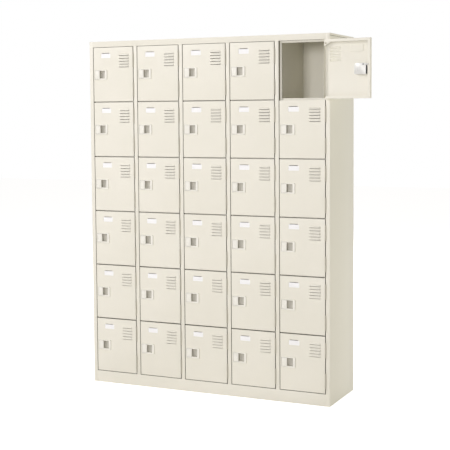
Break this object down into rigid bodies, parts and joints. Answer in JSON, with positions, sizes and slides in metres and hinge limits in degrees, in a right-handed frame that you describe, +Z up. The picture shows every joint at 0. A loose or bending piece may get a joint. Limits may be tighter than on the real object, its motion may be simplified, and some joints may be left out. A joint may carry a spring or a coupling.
{
  "type": "shoe locker",
  "caption": "Tall free-standing sheet-steel shoe locker with a grid of small louvred doors, each with a name window and a moulded pull handle; the top right door stands open",
  "frame": {"origin": "on the floor under the middle of the carcass's base, on the underside of the base bearer", "axes": "+Z up, -Y out of the doors, +X to the right seen from the front"},
  "size_m": [1.5338, 0.4097, 1.79],
  "materials": {
    "ivory_paint": "baked ivory powder coat with a fine orange peel",
    "ivory_plastic": "satin moulded plastic in the colour of the paint",
    "zinc_plate": "bright zinc plate",
    "card_white": "blank white card"
  },
  "bodies": {
    "carcass": {"back_panel": "ivory_paint", "base_bearer": "ivory_paint", "bottom_deck": "ivory_paint", "frame_hinge_leaves": "ivory_paint", "front_mullions": "ivory_paint", "hinge_pins": "zinc_plate", "partition_1": "ivory_paint", "partition_2": "ivory_paint", "partition_3": "ivory_paint", "partition_4": "ivory_paint", "plinth": "ivory_paint", "shelves_column_1": "ivory_paint", "shelves_column_2": "ivory_paint", "shelves_column_3": "ivory_paint", "shelves_column_4": "ivory_paint", "shelves_column_5": "ivory_paint", "side_panel_left": "ivory_paint", "side_panel_right": "ivory_paint", "top_panel": "ivory_paint"},
    "door_1_1": {"door_row1_column1": "ivory_paint"},
    "door_1_2": {"door_row1_column2": "ivory_paint"},
    "door_1_3": {"door_row1_column3": "ivory_paint"},
    "door_1_4": {"door_row1_column4": "ivory_paint"},
    "door_2_1": {"door_row2_column1": "ivory_paint"},
    "door_2_2": {"door_row2_column2": "ivory_paint"},
    "door_2_3": {"door_row2_column3": "ivory_paint"},
    "door_2_4": {"door_row2_column4": "ivory_paint"},
    "door_2_5": {"door_row2_column5": "ivory_paint"},
    "door_3_1": {"door_row3_column1": "ivory_paint"},
    "door_3_2": {"door_row3_column2": "ivory_paint"},
    "door_3_3": {"door_row3_column3": "ivory_paint"},
    "door_3_4": {"door_row3_column4": "ivory_paint"},
    "door_3_5": {"door_row3_column5": "ivory_paint"},
    "door_4_1": {"door_row4_column1": "ivory_paint"},
    "door_4_2": {"door_row4_column2": "ivory_paint"},
    "door_4_3": {"door_row4_column3": "ivory_paint"},
    "door_4_4": {"door_row4_column4": "ivory_paint"},
    "door_4_5": {"door_row4_column5": "ivory_paint"},
    "door_5_1": {"door_row5_column1": "ivory_paint"},
    "door_5_2": {"door_row5_column2": "ivory_paint"},
    "door_5_3": {"door_row5_column3": "ivory_paint"},
    "door_5_4": {"door_row5_column4": "ivory_paint"},
    "door_5_5": {"door_row5_column5": "ivory_paint"},
    "door_6_1": {"door_row6_column1": "ivory_paint"},
    "door_6_2": {"door_row6_column2": "ivory_paint"},
    "door_6_3": {"door_row6_column3": "ivory_paint"},
    "door_6_4": {"door_row6_column4": "ivory_paint"},
    "door_6_5": {"door_row6_column5": "ivory_paint"},
    "open_door": {"open_door_pan": "ivory_paint", "open_door_hinge_leaves": "ivory_paint", "handle_housing": "ivory_plastic", "lever_pin": "zinc_plate", "latch_case": "zinc_plate", "latch_screw": "zinc_plate", "card_pocket": "ivory_paint", "name_card": "card_white", "corner_gusset": "ivory_paint"},
    "lever": {"pull_lever": "ivory_plastic"},
    "hook": {"latch_hook": "zinc_plate"}
  },
  "joints": [
    {"name": "door_1_1_hinge", "type": "hinge", "parent": "carcass", "child": "door_1_1", "pos_m": [-0.4015, -0.183, 1.61925], "axis": [0, 0, 1], "range_deg": [0, 175]},
    {"name": "door_1_2_hinge", "type": "hinge", "parent": "carcass", "child": "door_1_2", "pos_m": [-0.1415, -0.183, 1.61925], "axis": [0, 0, 1], "range_deg": [0, 175]},
    {"name": "door_1_3_hinge", "type": "hinge", "parent": "carcass", "child": "door_1_3", "pos_m": [0.1185, -0.183, 1.61925], "axis": [0, 0, 1], "range_deg": [0, 175]},
    {"name": "door_1_4_hinge", "type": "hinge", "parent": "carcass", "child": "door_1_4", "pos_m": [0.3785, -0.183, 1.61925], "axis": [0, 0, 1], "range_deg": [0, 175]},
    {"name": "door_2_1_hinge", "type": "hinge", "parent": "carcass", "child": "door_2_1", "pos_m": [-0.4015, -0.183, 1.33575], "axis": [0, 0, 1], "range_deg": [0, 175]},
    {"name": "door_2_2_hinge", "type": "hinge", "parent": "carcass", "child": "door_2_2", "pos_m": [-0.1415, -0.183, 1.33575], "axis": [0, 0, 1], "range_deg": [0, 175]},
    {"name": "door_2_3_hinge", "type": "hinge", "parent": "carcass", "child": "door_2_3", "pos_m": [0.1185, -0.183, 1.33575], "axis": [0, 0, 1], "range_deg": [0, 175]},
    {"name": "door_2_4_hinge", "type": "hinge", "parent": "carcass", "child": "door_2_4", "pos_m": [0.3785, -0.183, 1.33575], "axis": [0, 0, 1], "range_deg": [0, 175]},
    {"name": "door_2_5_hinge", "type": "hinge", "parent": "carcass", "child": "door_2_5", "pos_m": [0.6385, -0.183, 1.33575], "axis": [0, 0, 1], "range_deg": [0, 175]},
    {"name": "door_3_1_hinge", "type": "hinge", "parent": "carcass", "child": "door_3_1", "pos_m": [-0.4015, -0.183, 1.05225], "axis": [0, 0, 1], "range_deg": [0, 175]},
    {"name": "door_3_2_hinge", "type": "hinge", "parent": "carcass", "child": "door_3_2", "pos_m": [-0.1415, -0.183, 1.05225], "axis": [0, 0, 1], "range_deg": [0, 175]},
    {"name": "door_3_3_hinge", "type": "hinge", "parent": "carcass", "child": "door_3_3", "pos_m": [0.1185, -0.183, 1.05225], "axis": [0, 0, 1], "range_deg": [0, 175]},
    {"name": "door_3_4_hinge", "type": "hinge", "parent": "carcass", "child": "door_3_4", "pos_m": [0.3785, -0.183, 1.05225], "axis": [0, 0, 1], "range_deg": [0, 175]},
    {"name": "door_3_5_hinge", "type": "hinge", "parent": "carcass", "child": "door_3_5", "pos_m": [0.6385, -0.183, 1.05225], "axis": [0, 0, 1], "range_deg": [0, 175]},
    {"name": "door_4_1_hinge", "type": "hinge", "parent": "carcass", "child": "door_4_1", "pos_m": [-0.4015, -0.183, 0.76875], "axis": [0, 0, 1], "range_deg": [0, 175]},
    {"name": "door_4_2_hinge", "type": "hinge", "parent": "carcass", "child": "door_4_2", "pos_m": [-0.1415, -0.183, 0.76875], "axis": [0, 0, 1], "range_deg": [0, 175]},
    {"name": "door_4_3_hinge", "type": "hinge", "parent": "carcass", "child": "door_4_3", "pos_m": [0.1185, -0.183, 0.76875], "axis": [0, 0, 1], "range_deg": [0, 175]},
    {"name": "door_4_4_hinge", "type": "hinge", "parent": "carcass", "child": "door_4_4", "pos_m": [0.3785, -0.183, 0.76875], "axis": [0, 0, 1], "range_deg": [0, 175]},
    {"name": "door_4_5_hinge", "type": "hinge", "parent": "carcass", "child": "door_4_5", "pos_m": [0.6385, -0.183, 0.76875], "axis": [0, 0, 1], "range_deg": [0, 175]},
    {"name": "door_5_1_hinge", "type": "hinge", "parent": "carcass", "child": "door_5_1", "pos_m": [-0.4015, -0.183, 0.48525], "axis": [0, 0, 1], "range_deg": [0, 175]},
    {"name": "door_5_2_hinge", "type": "hinge", "parent": "carcass", "child": "door_5_2", "pos_m": [-0.1415, -0.183, 0.48525], "axis": [0, 0, 1], "range_deg": [0, 175]},
    {"name": "door_5_3_hinge", "type": "hinge", "parent": "carcass", "child": "door_5_3", "pos_m": [0.1185, -0.183, 0.48525], "axis": [0, 0, 1], "range_deg": [0, 175]},
    {"name": "door_5_4_hinge", "type": "hinge", "parent": "carcass", "child": "door_5_4", "pos_m": [0.3785, -0.183, 0.48525], "axis": [0, 0, 1], "range_deg": [0, 175]},
    {"name": "door_5_5_hinge", "type": "hinge", "parent": "carcass", "child": "door_5_5", "pos_m": [0.6385, -0.183, 0.48525], "axis": [0, 0, 1], "range_deg": [0, 175]},
    {"name": "door_6_1_hinge", "type": "hinge", "parent": "carcass", "child": "door_6_1", "pos_m": [-0.4015, -0.183, 0.20175], "axis": [0, 0, 1], "range_deg": [0, 175]},
    {"name": "door_6_2_hinge", "type": "hinge", "parent": "carcass", "child": "door_6_2", "pos_m": [-0.1415, -0.183, 0.20175], "axis": [0, 0, 1], "range_deg": [0, 175]},
    {"name": "door_6_3_hinge", "type": "hinge", "parent": "carcass", "child": "door_6_3", "pos_m": [0.1185, -0.183, 0.20175], "axis": [0, 0, 1], "range_deg": [0, 175]},
    {"name": "door_6_4_hinge", "type": "hinge", "parent": "carcass", "child": "door_6_4", "pos_m": [0.3785, -0.183, 0.20175], "axis": [0, 0, 1], "range_deg": [0, 175]},
    {"name": "door_6_5_hinge", "type": "hinge", "parent": "carcass", "child": "door_6_5", "pos_m": [0.6385, -0.183, 0.20175], "axis": [0, 0, 1], "range_deg": [0, 175]},
    {"name": "open_door_hinge", "type": "hinge", "parent": "carcass", "child": "open_door", "pos_m": [0.6385, -0.183, 1.61925], "axis": [0, 0, 1], "range_deg": [-175, 0]},
    {"name": "lever_pivot", "type": "hinge", "parent": "open_door", "child": "lever", "pos_m": [0.86053, -0.20383, 1.6185], "axis": [0, 0, -1], "range_deg": [0, 18], "stiffness_Nm_per_rad": 0.05},
    {"name": "hook_slide", "type": "slide", "parent": "open_door", "child": "hook", "axis": [-0.9962, 0.0872, 0], "range_m": [0, 0.0046]}
  ],
  "couplings": [
    {"joint": "hook_slide", "follows": "lever_pivot", "m_per_rad": 0.014324}
  ]
}
